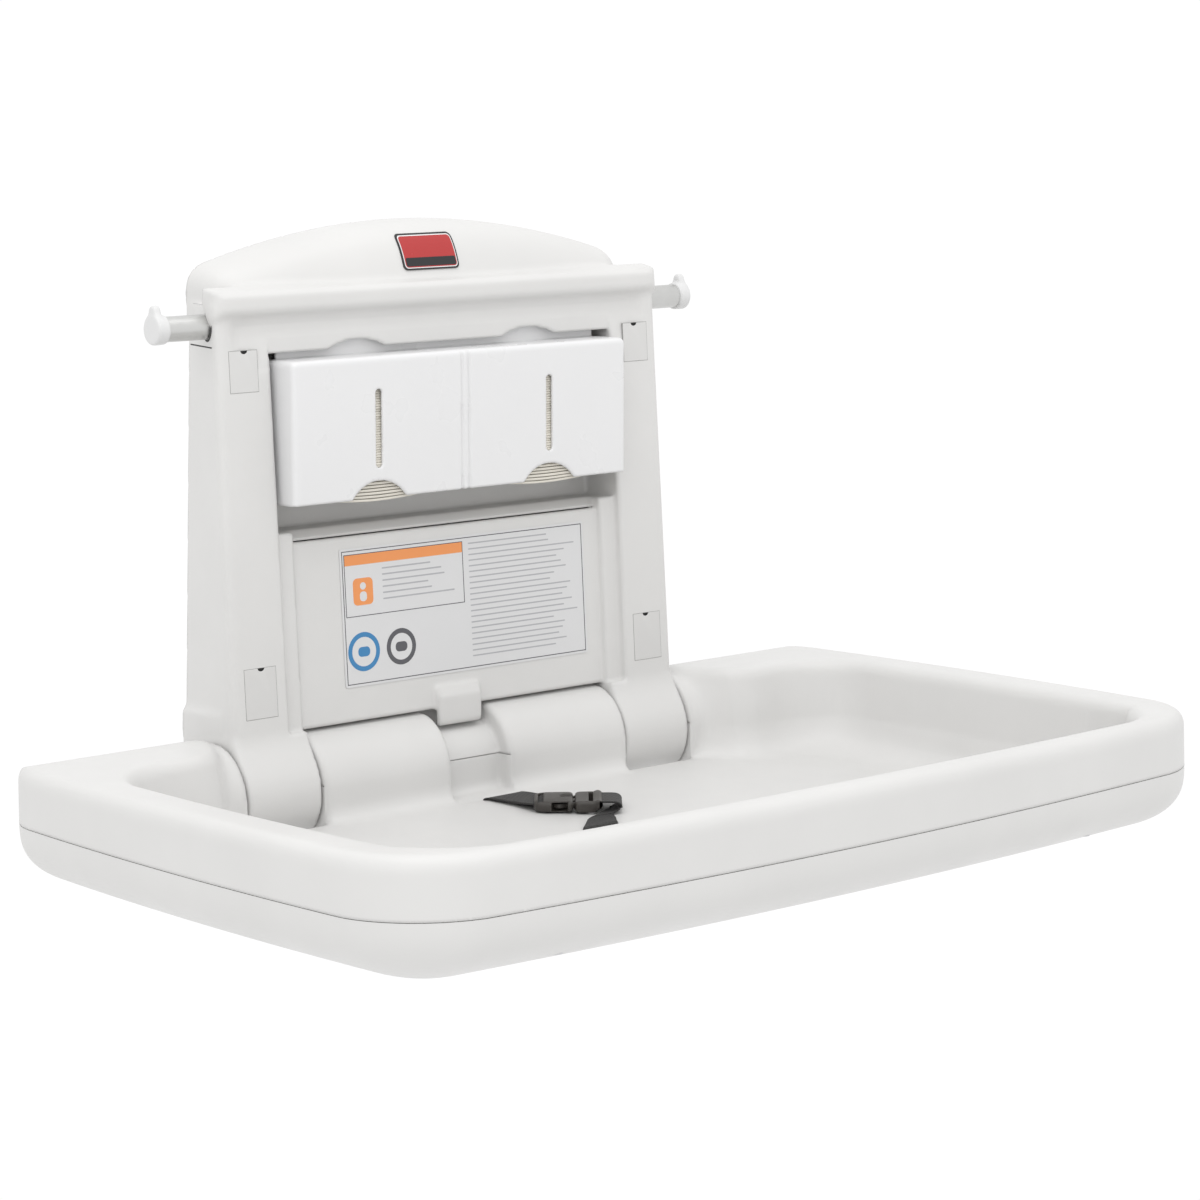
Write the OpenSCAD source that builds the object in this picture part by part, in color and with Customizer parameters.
// Wall-mounted fold-down changing station, shown with its bed down.
// Lengths are millimetres. +X runs along the wall, +Y into the wall, +Z up.
// The part's origin is the centre of the four wall screws, on the wall face.
// The pieces are drawn about the hinge axis, and place() moves them to that origin.

/* [Bed] */
// Width of the bed at its widest
bed_w = 845; // [700:1:1020]
// Hinge axis to the front edge of the bed
bed_d = 501.5; // [490:0.5:605]
// Hinge axis up to the top of the rim
rim_h = 48.7; // [48.2:0.1:50]
// Hinge axis down to the lowest point of the bed
bed_drop = 51.5; // [51.5:0.5:62]
// How far the long sides bulge outwards
side_bow = 10.7; // [0:0.1:14]
// How far the front edge bulges forwards
front_bow = 20.6; // [0:0.1:25]
// Radius of the bed's corners in plan
corner_r = 70; // [55:1:85]
// Width of the rim, from the outside to the basin
rim_w = 46; // [38:1:55]
// Wall thickness of both bed shells
skin = 3; // [2.5:0.1:3.6]
// Height of the joint between the two bed shells
seam_z = 4.5; // [2:0.5:8]
// Drop of the basin floor where it meets the hinge
floor_rear = 26; // [25:0.5:28]
// Drop of the basin floor at its deepest
floor_deep = 39.5; // [38.5:0.5:40.5]

/* [Hinge] */
// Hinge axis to the wall
wall_gap = 51; // [51:0.5:60]
// Radius of the fixed knuckles
knuckle_r = 43.4; // [40:0.1:43.6]
// Distance of a knuckle's inner end from the middle
knuckle_in = 160.6; // [150:0.1:166]
// Length of each knuckle
knuckle_len = 71.3; // [60:0.1:85]
// Gap between a knuckle and the bed, at each end
knuckle_gap = 1.5; // [1:0.1:2.5]
// Radius of the hinge pins
pin_r = 7; // [5.5:0.1:8.5]
// Radial running clearance of a pin in its bushes
run_gap = 0.05; // [0.02:0.01:0.1]
// Wall thickness of a hinge bush
bush_wall = 2.5; // [2:0.1:3.5]
// Thickness of the hinge ears
ear_t = 4; // [3:0.5:5]

/* [Wall unit] */
// Hinge axis up to the top of the arc
unit_h = 449; // [380:1:449]
// Hinge axis up to the underside of the ledge
ledge_z = 383; // [372:1:384]
// How far the front of an arm stands before the hinge axis, at its foot
arm_foot = 24.5; // [20:0.1:24.5]
// The same at the height of the upper wall screws
arm_head = 13.5; // [12:0.1:16]
// Half width of the wall unit at its front
unit_half_w = 232; // [228:0.5:236]
// Wall thickness of the cover
cover_t = 3; // [2.4:0.1:3.6]
// Width of each arm
arm_w = 55; // [50:1:58]

/* [Wall screws] */
// Distance between the wall screws along the wall
screw_dx = 406.4; // [400:0.1:412]
// Distance between the wall screws up the wall
screw_dz = 254; // [240:0.5:260]
// Radius of the wall screw holes
screw_r = 3.5; // [3:0.1:4]
// Height of the lower wall screws above the hinge axis
screw_low = 83; // [78:1:90]

/* [Hook tube] */
// Radius of the hook tube
tube_r = 10; // [8:0.1:12]
// Distance of the tube's end caps from the middle
tube_half = 275; // [262:1:285]
// Height of the tube above the hinge axis
tube_z = 372.6; // [370:0.1:374]

/* [Liner dispenser] */
// Half width of the dispenser
disp_half_w = 172.4; // [150:0.1:173]
// Front face of the dispenser before the hinge axis
disp_front = 36; // [32:0.5:36]
// Height of the dispenser's lower edge
disp_low = 229; // [222:1:236]
// Height of the dispenser's top
disp_top = 343.5; // [338:0.5:345]
// Wall thickness of the dispenser
disp_t = 2.5; // [2:0.1:3]

/* [Damper] */
// Outer radius of a rotary damper in its knuckle
damper_r = 24; // [20:0.5:28]
// Wall thickness of a damper's barrel
damper_wall = 5; // [4:0.5:6]

/* [Strap] */
// Width of the webbing
strap_w = 38; // [30:0.5:44]
// Thickness of the webbing
strap_t = 1.6; // [1.2:0.1:2]

/* [Hidden] */
$fn = 64;

// ---- shared values ----
shell_col = [0.90, 0.895, 0.885];
white_col = [0.94, 0.94, 0.945];
steel_col = [0.62, 0.63, 0.65];
dark_col = [0.13, 0.12, 0.12];
origin_up = screw_low + screw_dz / 2;   // mount centre above the hinge axis
knuckle_out = knuckle_in + knuckle_len;
slot_in = knuckle_in - knuckle_gap;
slot_out = knuckle_out + knuckle_gap;
slot_front = knuckle_r + knuckle_gap;
barrel_r = rim_h - 0.7;                 // rear and underside round, clear of the wall
hump_r = knuckle_r + 2.1;               // round between and outside the knuckles
eps = 0.01;
clear = 0.3;
lean = (arm_foot - arm_head) / (screw_low + screw_dz - rim_h);  // slope of the arms
disc_r = pin_r + run_gap + bush_wall + 10;
ear_bore = pin_r + run_gap + bush_wall;
in_ear_x = slot_in - skin - 1 - ear_t;  // nearer face of the inner bed ear
out_ear_x = slot_out + skin + 2;
channel_half = 30;
channel_r = 32;
stop_r = 5;
arm_inner = unit_half_w - arm_w;

// rear edge of a bed ear's leg, against which the stop stud lies
leg_low = [-28, -44.5];
leg_top = [-9, -18];
leg_dir = (leg_top - leg_low) / norm(leg_top - leg_low);
stop_at = leg_low + leg_dir * 19.5 + [leg_dir[1], -leg_dir[0]] * (stop_r + clear);

module place() translate([0, -wall_gap, -origin_up]) children();
module both_sides() { children(); mirror([1, 0, 0]) children(); }
module along_x(x0, x1, r) translate([x0, 0, 0]) rotate([0, 90, 0]) cylinder(r = r, h = x1 - x0);
// extrude an outline given as [y, z] points from x0 to x1
module yz(x0, x1) translate([x0, 0, 0]) rotate([90, 0, 90]) linear_extrude(x1 - x0) children();
// extrude an outline given as [x, z] points from y0 back to y1
module xz(y0, y1) translate([0, y1, 0]) rotate([90, 0, 0]) linear_extrude(y1 - y0) children();

// ---- bed outline: a rounded rectangle with bulging sides and front ----
function arc(c, r, a0, a1, n) = [for (i = [0:n]) let (a = a0 + (a1 - a0) * i / n)
    [c[0] + r * cos(a), c[1] + r * sin(a)]];
function between(a, b, n) = [for (i = [1:n - 1]) a + (b - a) * i / n];
function corners(w, front, back, r) = let (n = 6) concat(
    arc([w - r, front + r], r, -90, 0, n), between([w, front + r], [w, back - r], 8),
    arc([w - r, back - r], r, 0, 90, n), between([w - r, back], [r - w, back], 6),
    arc([r - w, back - r], r, 90, 180, n), between([-w, back - r], [-w, front + r], 8),
    arc([r - w, front + r], r, 180, 270, n), between([r - w, front], [w - r, front], 10));
function bulge(p, w, front, back) = let (mid = (front + back) / 2, half = (back - front) / 2)
    [p[0] + side_bow * p[0] / w * max(0, 1 - pow((p[1] - mid) / half, 2)),
     p[1] - front_bow * max(0, (mid - p[1]) / half) * max(0, 1 - pow(p[0] / w, 2))];
function outline(inset) = let (w = bed_w / 2 - side_bow - inset, front = front_bow - bed_d + inset,
    back = barrel_r + 1 - inset, r = max(8, corner_r - inset))
    [for (p = corners(w, front, back, r)) bulge(p, w, front, back)];
module slab(inset, z) translate([0, 0, z]) linear_extrude(eps) polygon(outline(inset));

// the whole bed as one cushion shape, shrunk by g all round
module cushion(g) intersection() {
    hull() {
        for (s = [[16, 0], [8, 1.2], [2.5, 5], [0.6, 11]]) slab(s[0] + g, rim_h - s[1] - g);
        slab(g, seam_z);
        for (s = [[1.5, 0.74], [9, 0.46], [26, 0.22], [58, 0.06], [112, 0]])
            slab(s[0] + g, (s[1] - 1) * (bed_drop - g) + s[1] * seam_z);
    }
    union() {
        translate([-bed_w, -2 * bed_d, -bed_d]) cube([2 * bed_w, 2 * bed_d, 2 * bed_d]);
        along_x(-bed_w, bed_w, barrel_r - g);
    }
}

// floor of the basin at a distance s before the hinge axis
floor_slope = 0.06;
s_deep = slot_front + (floor_deep - floor_rear) / floor_slope;
s_rise = bed_d - rim_w - 105;
front_floor = 27;

// the hollow of the basin, grown by g all round
module basin(g) {
    foot = bed_d - rim_w - 24;
    intersection() {
        union() {
            hull() {
                for (s = [[0, rim_h + 1], [3, rim_h - 9], [9, 0], [16, -18], [30, -floor_deep]])
                    translate([0, 0, s[1] + (s[1] > rim_h ? 0 : -g)]) linear_extrude(eps)
                        polygon([for (p = corners(bed_w / 2 - side_bow - rim_w - s[0] + g,
                            front_bow - bed_d + rim_w + s[0] - g, -slot_front - 16 - s[0] / 2 + g, 62))
                            bulge(p, bed_w / 2 - side_bow - rim_w, front_bow - bed_d + rim_w, -slot_front)]);
            }
            // bay that reaches back to the hinge barrel
            translate([0, 0, -floor_deep - g]) linear_extrude(rim_h + floor_deep + 1 + g)
                polygon([[-slot_out - 68 - g, -120], [slot_out + 68 + g, -120], [slot_out + 62 + g, -84],
                    [slot_out + 30 + g, -40], [slot_out + 8 + g, 0], [-slot_out - 8 - g, 0],
                    [-slot_out - 30 - g, -40], [-slot_out - 62 - g, -84]]);
        }
        // sloping floor
        yz(-bed_w, bed_w) polygon([[0, -floor_rear - g], [-slot_front, -floor_rear - g],
            [-s_deep, -floor_deep - g], [-s_rise, -floor_deep - g], [-foot - g, -front_floor - g],
            [-bed_d, -front_floor + 30], [-bed_d, rim_h + 2], [0, rim_h + 2]]);
    }
}

// round of the hinge barrel with the fillet at its foot, shrunk by g
module barrel_half(x0, x1, g, fillet) {
    r = hump_r - g;
    low = -floor_rear - 1;
    c = [-sqrt(pow(r + fillet, 2) - pow(low + fillet, 2)), low + fillet];
    a = atan2(-c[1], -c[0]);
    difference() {
        union() {
            along_x(x0, x1, r);
            yz(x0, x1) polygon([[0, low - 12 + g], [c[0], low - 12 + g], [c[0], low],
                c + fillet * [cos(a), sin(a)], [0, 0]]);
        }
        translate([0, c[0], c[1]]) along_x(x0 - 1, x1 + 1, fillet + g);
    }
}
module barrel(g) {
    barrel_half(-slot_in + g, slot_in - g, g, 7);
    both_sides() barrel_half(slot_out + g, bed_w / 2, g, 34);
}

module knuckle_slots(g) both_sides()
    translate([slot_in - g, -slot_front - g, -bed_d])
        cube([slot_out - slot_in + 2 * g, slot_front + bed_d, 2 * bed_d]);

// channel across the middle of the barrel, which clears the fixed tab
module channel(g) difference() {
    translate([-channel_half - g, -slot_front - 12, -floor_rear + 2 - g])
        cube([2 * (channel_half + g), slot_front + 12 + barrel_r + 5, bed_d]);
    along_x(-channel_half - g - 1, channel_half + g + 1, channel_r - g);
}

strap_x = 12;
rear_slot_y = -slot_front - 6;
front_slot_y = -188;
function floor_at(y) = -min(floor_deep, floor_rear + floor_slope * max(0, -y - slot_front));
module strap_slots() for (y = [rear_slot_y, front_slot_y])
    translate([strap_x - strap_w / 2 - 1, y - 2.5, -bed_drop + skin + 1])
        cube([strap_w + 2, 5, 30]);

module stop_sweep() for (a = [0:6:90]) rotate([a, 0, 0])
    translate([0, stop_at[0], stop_at[1]]) along_x(slot_out - 2, slot_out + skin + 2, stop_r + 1.2);

// bosses for the screws that hold the two shells together, along the middle of the rim
boss_seat = -34;
boss_set = 36;
screw_spots = [for (x = [-270, -90, 90, 270]) [x, boss_set - bed_d + 2],
    for (s = [-1, 1], y = [-330, -150]) [s * (bed_w / 2 - boss_set), y]];
module bosses(r, z0, z1) for (p = screw_spots) translate([p[0], p[1], z0]) cylinder(r = r, h = z1 - z0);

module bed_upper_shell() color(shell_col) difference() {
    union() {
        intersection() {
            cushion(0);
            translate([-bed_w, -2 * bed_d, seam_z]) cube([2 * bed_w, 3 * bed_d, bed_d]);
        }
        intersection() {
            cushion(skin + 0.2);
            translate([-bed_w, -2 * bed_d, -bed_d]) cube([2 * bed_w, 3 * bed_d, bed_d + seam_z + 1]);
        }
    }
    difference() { basin(0); barrel(0); }
    difference() {
        cushion(skin);
        difference() { basin(skin); barrel(skin); }
        knuckle_slots(skin);
        channel(skin);
        bosses(7, seam_z, bed_drop);
    }
    bosses(2.5, -bed_drop, seam_z + 8);
    knuckle_slots(0);
    channel(0);
    strap_slots();
    both_sides() along_x(in_ear_x - 3, out_ear_x + 12, ear_bore + 1.5);
    both_sides() stop_sweep();
}

module bed_lower_shell() color(shell_col) difference() {
    cushion(0);
    difference() {
        cushion(skin);
        bosses(9, -bed_drop, seam_z);
    }
    bosses(2.6, boss_seat - 1, seam_z + 1);
    bosses(5.4, -bed_drop - 1, boss_seat);
    translate([-bed_w, -2 * bed_d, seam_z]) cube([2 * bed_w, 3 * bed_d, bed_d]);
    knuckle_slots(0);
    channel(0);
}

// ---- steel frame on the wall ----
wall_ear_in = knuckle_in + cover_t + 4;
wall_ear_out = unit_half_w - 14 - ear_t;
plate_t = 3;
plate_low = 12;
plate_top = tube_z + 14;
block_low = 34;
block_top = ledge_z + 6;
function side_rear(z) = unit_half_w - 5 - 18 * (z - block_low) / (block_top - block_low);
tube_y = 5.3;
bar_h = 30;
bar_z = [screw_low + 62, screw_low + 217];
bolt_r = 4;
function arm_y(z) = -(arm_foot - lean * (z - rim_h));

module rounded_slot(r, len, h) {
    cube([len - 2 * r, 2 * r, h], center = true);
    for (s = [-1, 1]) translate([s * (len / 2 - r), 0, 0]) cylinder(r = r, h = h, center = true);
}

module wall_plate() color(steel_col) difference() {
    union() {
        xz(wall_gap - plate_t, wall_gap) polygon([[wall_ear_in, plate_low],
            [wall_ear_out + ear_t, plate_low], [wall_ear_out + ear_t, 122],
            [side_rear(plate_top) - cover_t - 0.4, plate_top], [wall_ear_in, plate_top]]);
        for (x = [wall_ear_in, wall_ear_out]) {
            yz(x, x + ear_t) polygon([[wall_gap - eps, plate_low], [wall_gap - eps, 125],
                [32, 100], [-2, disc_r - 1], [-14, 8], [4, -14]]);
            along_x(x, x + ear_t, disc_r);
        }
        // foot that carries the stop stud
        yz(wall_ear_out, wall_ear_out + ear_t) polygon([[-8, -6], stop_at + [-stop_r - 2, 3],
            stop_at + [-stop_r - 0.5, 1 - stop_r], stop_at + [stop_r + 1, -stop_r], [14, -12]]);
    }
    for (z = [screw_low, screw_low + screw_dz]) translate([screw_dx / 2, wall_gap, z])
        rotate([90, 0, 0]) cylinder(r = screw_r, h = 4 * plate_t, center = true);
    for (z = bar_z) translate([wall_ear_in + 14, wall_gap, z]) rotate([90, 0, 0])
        cylinder(r = bolt_r, h = 4 * plate_t, center = true);
    along_x(wall_ear_in - 1, wall_ear_out + ear_t + 1, ear_bore);
    translate([0, stop_at[0], stop_at[1]]) along_x(wall_ear_out - 1, wall_ear_out + ear_t + 1, stop_r);
}

module cross_bars() color(steel_col) for (z = bar_z) difference() {
    translate([-wall_ear_in - 26, wall_gap - 2 * plate_t, z - bar_h / 2])
        cube([2 * (wall_ear_in + 26), plate_t, bar_h]);
    for (s = [-1, 1]) translate([s * (wall_ear_in + 14), wall_gap, z]) rotate([90, 0, 0])
        cylinder(r = bolt_r, h = 8 * plate_t, center = true);
}

module frame_bolts() color("dimgray") for (s = [-1, 1], z = bar_z)
    translate([s * (wall_ear_in + 14), wall_gap - 0.5, z]) rotate([90, 0, 0]) {
        cylinder(r = bolt_r - 0.1, h = 2 * plate_t - 0.5);
        translate([0, 0, 2 * plate_t - 0.5]) cylinder(r = 7, h = 4.5, $fn = 6);
    }

saddle_x = arm_inner + cover_t + 1;
saddle_w = 14;
module tube_saddles() color("gainsboro") both_sides() difference() {
    translate([saddle_x, tube_y - 2, tube_z - tube_r - 3.5])
        cube([saddle_w, wall_gap - plate_t - tube_y + 2, 2 * tube_r + 7]);
    translate([0, tube_y, tube_z]) along_x(saddle_x - 1, saddle_x + saddle_w + 1, tube_r + 0.05);
}

module stop_studs() color("dimgray") both_sides() translate([0, stop_at[0], stop_at[1]])
    along_x(wall_ear_out - 2, out_ear_x + ear_t, stop_r - 0.02);

module hinge_bushes() color("ivory") both_sides() for (x = [wall_ear_in, wall_ear_out])
    difference() {
        along_x(x - 0.2, x + ear_t + 0.2, ear_bore - 0.02);
        along_x(x - 1, x + ear_t + 1, pin_r + run_gap);
    }

// ---- rotary damper inside each knuckle ----
chamber_r = damper_r - damper_wall;
hub_r = pin_r + 4;
cap_t = 4;
damper_x0 = wall_ear_in + ear_t + 0.3;
damper_x1 = wall_ear_out - 0.3;
module sector(a0, a1, r) polygon(concat([[0, 0]], [for (i = [0:8]) let (a = a0 + (a1 - a0) * i / 8)
    [r * cos(a), r * sin(a)]]));
module damper() color("darkslategray") difference() {
    union() {
        difference() {
            along_x(damper_x0, damper_x1, damper_r);
            along_x(damper_x0 + cap_t, damper_x1 - cap_t, chamber_r);
        }
        for (a = [50, 230]) yz(damper_x0 + 1, damper_x1 - 1) sector(a, a + 26, chamber_r + 1);
    }
    along_x(damper_x0 - 1, damper_x1 + 1, pin_r + 0.1);
    along_x(damper_x0 + cap_t, damper_x1 - cap_t, hub_r + 0.1);
}
module damper_rotor() color("silver") difference() {
    union() {
        along_x(damper_x0 + cap_t + 0.3, damper_x1 - cap_t - 0.3, hub_r);
        for (a = [200, 20]) yz(damper_x0 + cap_t + 0.3, damper_x1 - cap_t - 0.3)
            sector(a, a + 20, chamber_r - 0.3);
    }
    along_x(damper_x0, damper_x1, pin_r);
}

// ---- hinge pins, fixed in the bed's ears ----
module hinge_pin() color("silver") difference() {
    union() {
        along_x(in_ear_x - 7, out_ear_x + ear_t, pin_r);
        along_x(out_ear_x + ear_t, out_ear_x + ear_t + 5, pin_r + 4);
    }
    difference() {
        along_x(in_ear_x - 3.5, in_ear_x - 2, pin_r + 1);
        along_x(in_ear_x - 4, in_ear_x - 1, pin_r - 1.2);
    }
}
module pin_clips() color("dimgray") both_sides() difference() {
    along_x(in_ear_x - 3.3, in_ear_x - 2.2, pin_r + 4);
    along_x(in_ear_x - 4, in_ear_x - 1, pin_r - 1.1);
    translate([in_ear_x - 4, -3, 0]) cube([4, 6, pin_r + 6]);
}

// ---- cover of the wall unit ----
function plan(half_front, half_back, front, back) = concat(
    arc([half_front - 6, front + 6], 6, -90, 0, 4), [[half_back, back], [-half_back, back]],
    arc([6 - half_front, front + 6], 6, 180, 270, 4));
module block(g) hull() for (s = [[block_low, unit_half_w, side_rear(block_low)],
        [block_top, unit_half_w - 3, side_rear(block_top)]])
    translate([0, 0, s[0] - (s[0] > block_low ? g : -g)]) linear_extrude(eps)
        polygon(plan(s[1] - g, s[2] - g, arm_y(s[0]) + g, wall_gap + g));

arc_half = unit_half_w - 20;
arc_bow = 2 * 672;
function arch(inset, drop) = let (w = arc_half - inset, r = 15, top = unit_h - drop,
    side_top = top - pow(w - r, 2) / arc_bow) concat(
    [[-w, ledge_z - 6], [w, ledge_z - 6]], arc([w - r, side_top - r], r, 0, 82, 6),
    [for (i = [-10:10]) let (x = -i * (w - r - 2) / 10) [x, top - x * x / arc_bow]],
    arc([r - w, side_top - r], r, 98, 180, 6));
splash_t = 0.2;
module backsplash(g) hull() for (s = [[wall_gap + g, 0, 0], [31, 0.8, 1.5], [18, 3, 7], [7, 6, 19],
        [-3, 8, 47]])
    xz(s[0] - splash_t, s[0]) polygon(arch(s[1] + g, s[2] + g));

foot_low = -30;
module foot(g) both_sides() {
    along_x(knuckle_in + g, knuckle_out - g, knuckle_r - g);
    translate([knuckle_in + g, 0, foot_low + g])
        cube([unit_half_w - 6 - knuckle_in - 2 * g, wall_gap + g, 70 - foot_low]);
}

panel_low = rim_h - 0.2;
panel_top = 196;
strip_in = 6;
panel_in = 10;
panel_half = knuckle_in - 0.6;
pocket_low = 206;
pocket_top = 348.5;
pocket_back = 24;
under_y = -9.5;
flap_top = 359;
function panel_y(z) = arm_y(z) + panel_in;
// everything cut back from the front of the block between the arms, grown by g
module recess(g) {
    yz(-arm_inner - g, arm_inner + g) polygon([[-60, 30 - g], [arm_y(30) + strip_in + g, 30 - g],
        [arm_y(pocket_low - g) + strip_in + g, pocket_low - g], [pocket_back + g, pocket_low - g],
        [pocket_back + g, flap_top + g], [under_y + g, flap_top + g], [under_y + g, flap_top + 3.5],
        [under_y + 1.4 + g, flap_top + 13], [under_y - 0.5 + g, ledge_z], [-60, ledge_z]]);
    yz(-panel_half - g, panel_half + g) polygon([[-61, foot_low - 5], [wall_gap + 5, foot_low - 5],
        [wall_gap + 5, panel_low + g], [panel_y(panel_low) + g, panel_low + g],
        [panel_y(panel_top) + g, panel_top], [2 + g, pocket_low - 0.5], [-61, pocket_low - 0.5]]);
}

scallop_x = 89;
scallop_r = 62;
module scallops(r) for (s = [-1, 1]) translate([s * scallop_x, -11, pocket_top + 7.5 - r])
    rotate([90, 0, 0]) cylinder(r = r, h = 16, center = true, $fn = 128);

cover_gap = 0.35;
top_cover = [26.5, 32.5];
low_cover = [30, 40];
module cover_window(size, z, grow) translate([screw_dx / 2 - size[0] / 2 - grow, -60, z - size[1] / 2 - grow])
    cube([size[0] + 2 * grow, 60, size[1] + 2 * grow]);
notch_r = 3;
module finger_notch(size, z) translate([screw_dx / 2 - 1, arm_y(z) + 1, z + size[1] / 2])
    rotate([90, 0, 0]) cylinder(r = notch_r, h = 2 * cover_t + 4, center = true, $fn = 24);

module unit_cover() color(shell_col) {
    difference() {
        union() { block(0); backsplash(0); foot(0); }
        recess(0);
        difference() {
            union() { block(cover_t); backsplash(cover_t); foot(cover_t); }
            recess(cover_t);
        }
        both_sides() {
            along_x(knuckle_in - 1, knuckle_out + 1, pin_r + 0.6);
            translate([0, stop_at[0], stop_at[1]]) along_x(knuckle_out - 6, knuckle_out + 1, stop_r + clear);
            translate([0, tube_y, tube_z]) along_x(saddle_x + saddle_w, unit_half_w + 5, tube_r + 0.7);
            cover_window(top_cover, screw_low + screw_dz, cover_gap);
            cover_window(low_cover, screw_low, cover_gap);
            finger_notch(top_cover, screw_low + screw_dz);
            finger_notch(low_cover, screw_low);
        }
    }
    // flap that hangs over the dispenser's top, with two scallops
    difference() {
        translate([-arm_inner - 1, under_y, pocket_top])
            cube([2 * arm_inner + 2, cover_t, flap_top + cover_t - pocket_top]);
        scallops(scallop_r);
    }
    // ledge over the dispenser, with a rolled front
    yz(3 - unit_half_w, unit_half_w - 3) polygon(concat([[-5, ledge_z - 5], [-11, ledge_z - 2]],
        [[-15.5, ledge_z]], arc([-13, ledge_z + 6.5], 5.5, 235, 100, 8),
        [[-6, ledge_z + 14], [0, ledge_z + 16], [2, ledge_z + 8]]));
    // tab over the channel in the bed
    yz(-22.9, 22.9) polygon([[-14.5, 33], [-18.5, 33], [-19.5, 36], [-20, 56], [-17, 64], [-11, 66],
        [-11, panel_low + 1], [-14.5, panel_low - 3]]);
}

module screw_cover(size, z) color(shell_col) intersection() {
    cover_window(size, z, 0);
    yz(0, bed_w) polygon([[arm_y(z - 40), z - 40], [arm_y(z + 40), z + 40],
        [arm_y(z + 40) + 2.2, z + 40], [arm_y(z - 40) + 2.2, z - 40]]);
}

// ---- liner dispenser ----
divider = 2.2;
window_w = 5;
window_low = 254.1;
window_top = 316.7;
thumb_z = 243.3;
thumb_r = 33;
box_mid = disp_half_w / 2 + 1.5;
module box_profile(g) polygon(concat([[-8, disp_low - 1 + (g > 0 ? -2 : 1)],
    [-disp_front + g, disp_low - 1 + (g > 0 ? -2 : 1)]],
    arc([-disp_front + 9, disp_top - 9], 9 - g, 180, 90, 6), [[6 - g, disp_top - g], [6 - g, disp_low + 10]]));
module dispenser_housing() color(white_col) difference() {
    union() {
        for (s = [-1, 1]) translate([s < 0 ? -disp_half_w : 0.4, 0, 0])
            yz(0, disp_half_w - 0.4) box_profile(0);
        yz(-1, 1) polygon([[-disp_front + 2.5, disp_low], [0, disp_low], [0, disp_top - 3],
            [-disp_front + 2.5, disp_top - 9]]);
        // flange that stands up behind the panel over the dispenser
        translate([-disp_half_w + 8, -2, disp_top - 4]) cube([2 * disp_half_w - 16, 2, 18]);
    }
    for (s = [-1, 1]) {
        translate([s < 0 ? -disp_half_w + disp_t : divider, 0, 0])
            yz(0, disp_half_w - disp_t - divider) box_profile(disp_t);
        translate([s * box_mid, -disp_front, (window_low + window_top) / 2]) rotate([90, 90, 0])
            rounded_slot(window_w / 2, window_top - window_low, 8);
        translate([s * box_mid, -disp_front, thumb_z - thumb_r]) rotate([90, 0, 0])
            cylinder(r = thumb_r, h = 8, center = true, $fn = 96);
    }
}

liner_h = 88;
liner_t = 26;
module liners() color("antiquewhite")
    translate([box_mid - 75, -disp_front + disp_t + 0.6, disp_low + 1.5]) cube([150, liner_t, liner_h]);

// ---- plates ----
plate_tilt = atan(lean);
module on_panel(x, z, t) translate([x, arm_y(z) + panel_in - 0.02, z]) rotate([-plate_tilt, 0, 0])
    translate([0, -t, 0]) children();
info_size = [257, 113];
module information_plate() color("white") on_panel(15, 131, 0.5)
    translate([-info_size[0] / 2, 0, -info_size[1] / 2]) cube([info_size[0], 0.5, info_size[1]]);
emblem_size = [57, 31];
module emblem_plate() color("firebrick") translate([-2, 2.5, 422]) rotate([-23, 0, 0])
    xz(-2, 0) {
        square([emblem_size[0] - 8, emblem_size[1]], center = true);
        square([emblem_size[0], emblem_size[1] - 8], center = true);
        for (sx = [-1, 1], sz = [-1, 1])
            translate([sx * (emblem_size[0] / 2 - 4), sz * (emblem_size[1] / 2 - 4)]) circle(r = 4);
    }

// ---- hook tube ----
cap_len = 14;
tube_wall = 1.6;
module hook_tube() color("lightgray") translate([0, tube_y, tube_z]) difference() {
    along_x(-tube_half + 3, tube_half - 3, tube_r);
    along_x(-tube_half, tube_half, tube_r - tube_wall);
}
module hook_cap() color("whitesmoke") translate([0, tube_y, tube_z]) {
    along_x(tube_half - 3, tube_half, tube_r + 1.6);
    along_x(tube_half - cap_len - 3, tube_half - 2, tube_r - tube_wall - 0.02);
    difference() {
        along_x(tube_half - cap_len, tube_half - 2, tube_r + 1.6);
        along_x(tube_half - cap_len - 1, tube_half - 3, tube_r + 0.02);
    }
    // upright nub of the hook
    translate([tube_half - 8, 0, 0]) {
        translate([0, -4.5, tube_r + 0.5]) cube([8, 9, 5]);
        translate([0, 0, tube_r + 5.5]) along_x(0, 8, 4.5);
    }
}

// ---- steel brackets inside the bed ----
leg_plate_z = -bed_drop + skin + 1;
bracket_end = bed_d - 114;
brace_y = -bracket_end + 18;
module ear_outline() {
    circle(r = disc_r);
    polygon([[-disc_r + 1, 4], [-disc_r + 0.5, -4], [-42, -floor_rear - skin - 4],
        [-62, -floor_rear - skin - 4.5], [-62, leg_plate_z], [-45, leg_plate_z + 0.5],
        leg_low, leg_top, [0, 0]]);
}
module bed_bracket() color(steel_col) difference() {
    union() {
        for (x = [in_ear_x, out_ear_x]) yz(x, x + ear_t) ear_outline();
        translate([in_ear_x, -bracket_end, leg_plate_z]) cube([40, bracket_end - 52, ear_t]);
        translate([in_ear_x, -100, leg_plate_z]) cube([out_ear_x + ear_t - in_ear_x, 100 - 52, ear_t]);
    }
    along_x(in_ear_x - 1, out_ear_x + ear_t + 1, pin_r + 0.02);
    translate([in_ear_x + 20, brace_y, 0]) cylinder(r = 3, h = 200, center = true);
}
module bed_brace() color(steel_col) difference() {
    translate([-in_ear_x - 36, brace_y - 14, leg_plate_z + ear_t]) cube([2 * (in_ear_x + 36), 28, 1.5]);
    for (s = [-1, 1]) translate([s * (in_ear_x + 20), brace_y, 0]) cylinder(r = 3, h = 200, center = true);
}

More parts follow.
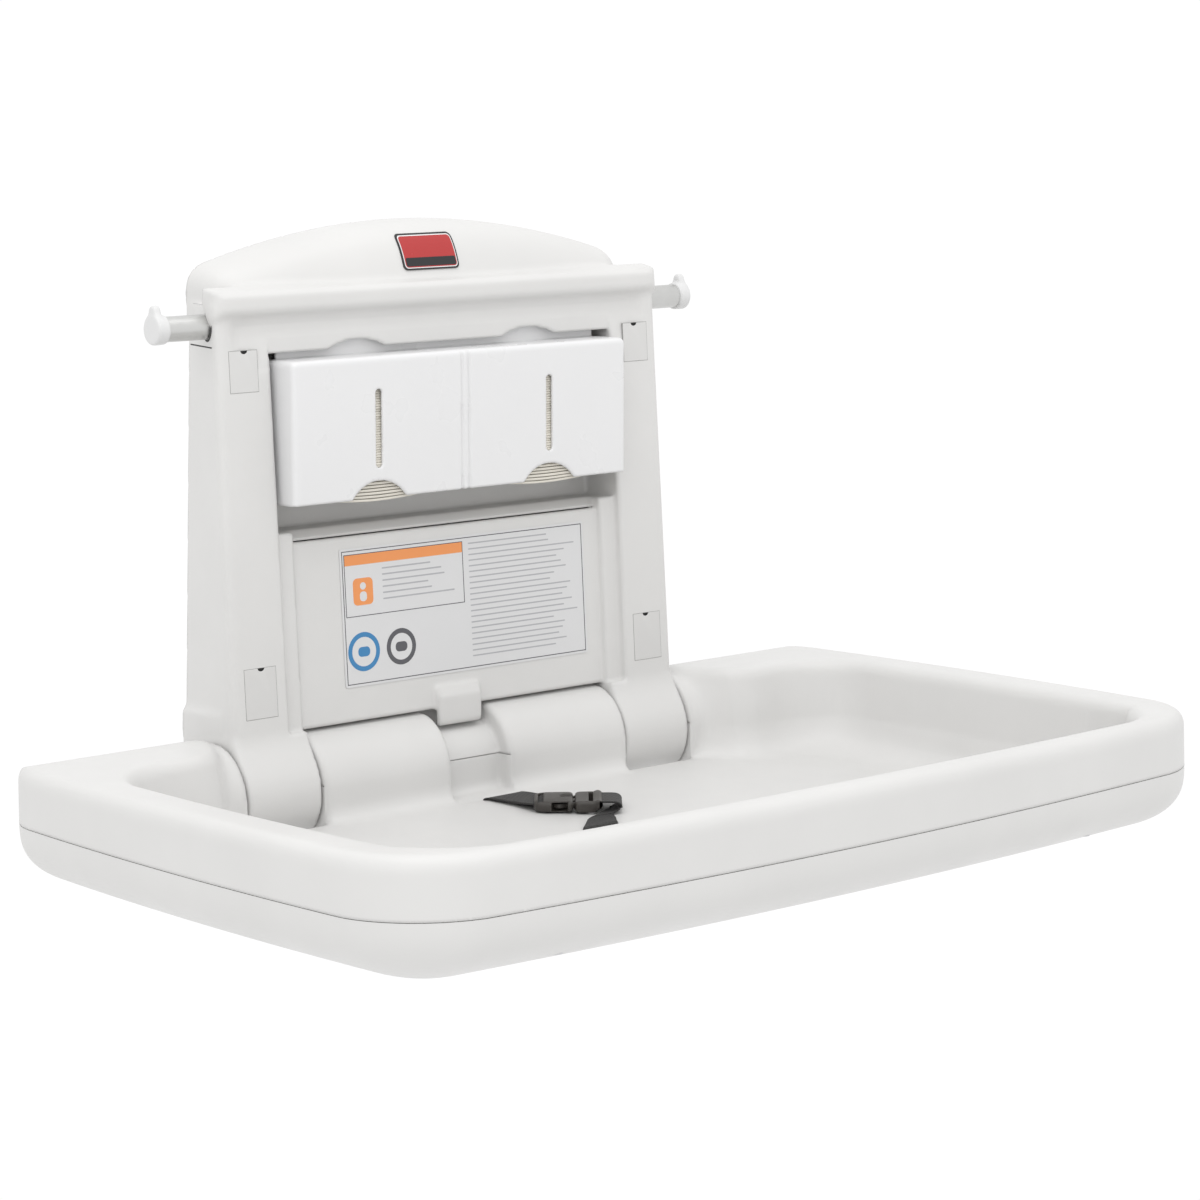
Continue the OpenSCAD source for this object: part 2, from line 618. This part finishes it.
module shell_screws() color("silver") for (p = screw_spots) translate([p[0], p[1], boss_seat]) {
    cylinder(r = 2.5, h = 42);
    translate([0, 0, -3]) cylinder(r = 5, h = 3);
}

// ---- strap and buckle ----
buckle_turn = 50;
buckle_at = [38, -112, floor_at(-112) + 8.5];
buckle_w = 46;
socket_len = 29;
plug_len = 26;
function on_buckle(x, y, up) = [buckle_at[0] + x * cos(buckle_turn) - y * sin(buckle_turn),
    buckle_at[1] + x * sin(buckle_turn) + y * cos(buckle_turn), buckle_at[2] + up, buckle_turn];
module strap_run(points) for (i = [0:len(points) - 2]) hull() for (p = [points[i], points[i + 1]])
    translate([p[0], p[1], p[2]]) rotate([0, 0, p[3]])
        translate([-strap_w / 2, -0.4, 0]) cube([strap_w, 0.8, strap_t]);
module strap_rear() color(dark_col) strap_run([
    [strap_x, rear_slot_y, floor_at(rear_slot_y) - 4, 0], [strap_x, rear_slot_y, floor_at(rear_slot_y) + 1, 0],
    [strap_x + 5, -66, floor_at(-66) + 3, 18], on_buckle(3, socket_len + 0.4, 0)]);
// the front webbing is in two lengths: the upper one travels with the plug
module strap_front() color(dark_col) strap_run([on_buckle(0, -plug_len - 0.4, -1),
    on_buckle(-4, -plug_len - 10, -3), [50, -158, floor_at(-158) + 4.4, 28],
    [38, -168, floor_at(-168) + 4.4, 18]]);
module strap_foot() color(dark_col) strap_run([
    [strap_x, front_slot_y, floor_at(front_slot_y) - 4, 0],
    [strap_x, front_slot_y, floor_at(front_slot_y) + 1, 0],
    [strap_x + 4, front_slot_y + 8, floor_at(front_slot_y) + 1.4, 4]]);
module strap_anchors() color("dimgray") for (y = [rear_slot_y, front_slot_y])
    translate([strap_x - strap_w / 2 - 6, y - 6, floor_at(y) - skin - 4.4]) cube([strap_w + 12, 12, 1.2]);
module buckle_frame() translate(buckle_at) rotate([0, 0, buckle_turn]) children();
module buckle_socket() color([0.2, 0.18, 0.17]) buckle_frame() difference() {
    translate([-buckle_w / 2, -3, -6]) cube([buckle_w, socket_len + 3, 11]);
    translate([-buckle_w / 2 + 4, -4, -3]) cube([buckle_w - 8, 22, 5]);
}
module buckle_plug() color([0.2, 0.18, 0.17]) buckle_frame() {
    translate([-buckle_w / 2 + 4.4, -4, -2.6]) cube([buckle_w - 8.8, 20, 4.2]);
    translate([-buckle_w / 2, -plug_len, -6]) cube([buckle_w, plug_len - 4, 9]);
}

place() mirror([1, 0, 0]) wall_plate();  // wall_plate_left
place() wall_plate();  // wall_plate_right
place() cross_bars();
place() frame_bolts();
place() tube_saddles();
place() stop_studs();
place() hinge_bushes();
place() mirror([1, 0, 0]) damper();  // damper_left
place() damper();  // damper_right
place() unit_cover();
place() dispenser_housing();
place() mirror([1, 0, 0]) liners();  // liners_left
place() liners();  // liners_right
place() information_plate();
place() emblem_plate();
place() mirror([1, 0, 0]) screw_cover(top_cover, screw_low + screw_dz);  // screw_cover_top_left
place() screw_cover(top_cover, screw_low + screw_dz);  // screw_cover_top_right
place() mirror([1, 0, 0]) screw_cover(low_cover, screw_low);  // screw_cover_low_left
place() screw_cover(low_cover, screw_low);  // screw_cover_low_right
place() hook_tube();
place() mirror([1, 0, 0]) hook_cap();  // hook_cap_left
place() hook_cap();  // hook_cap_right
place() mirror([1, 0, 0]) hinge_pin();  // hinge_pin_left
place() hinge_pin();  // hinge_pin_right
place() pin_clips();
place() mirror([1, 0, 0]) damper_rotor();  // damper_rotor_left
place() damper_rotor();  // damper_rotor_right
place() bed_upper_shell();
place() bed_lower_shell();
place() mirror([1, 0, 0]) bed_bracket();  // bed_bracket_left
place() bed_bracket();  // bed_bracket_right
place() bed_brace();
place() shell_screws();
place() strap_rear();
place() strap_front();
place() strap_foot();
place() strap_anchors();
place() buckle_socket();
place() buckle_plug();
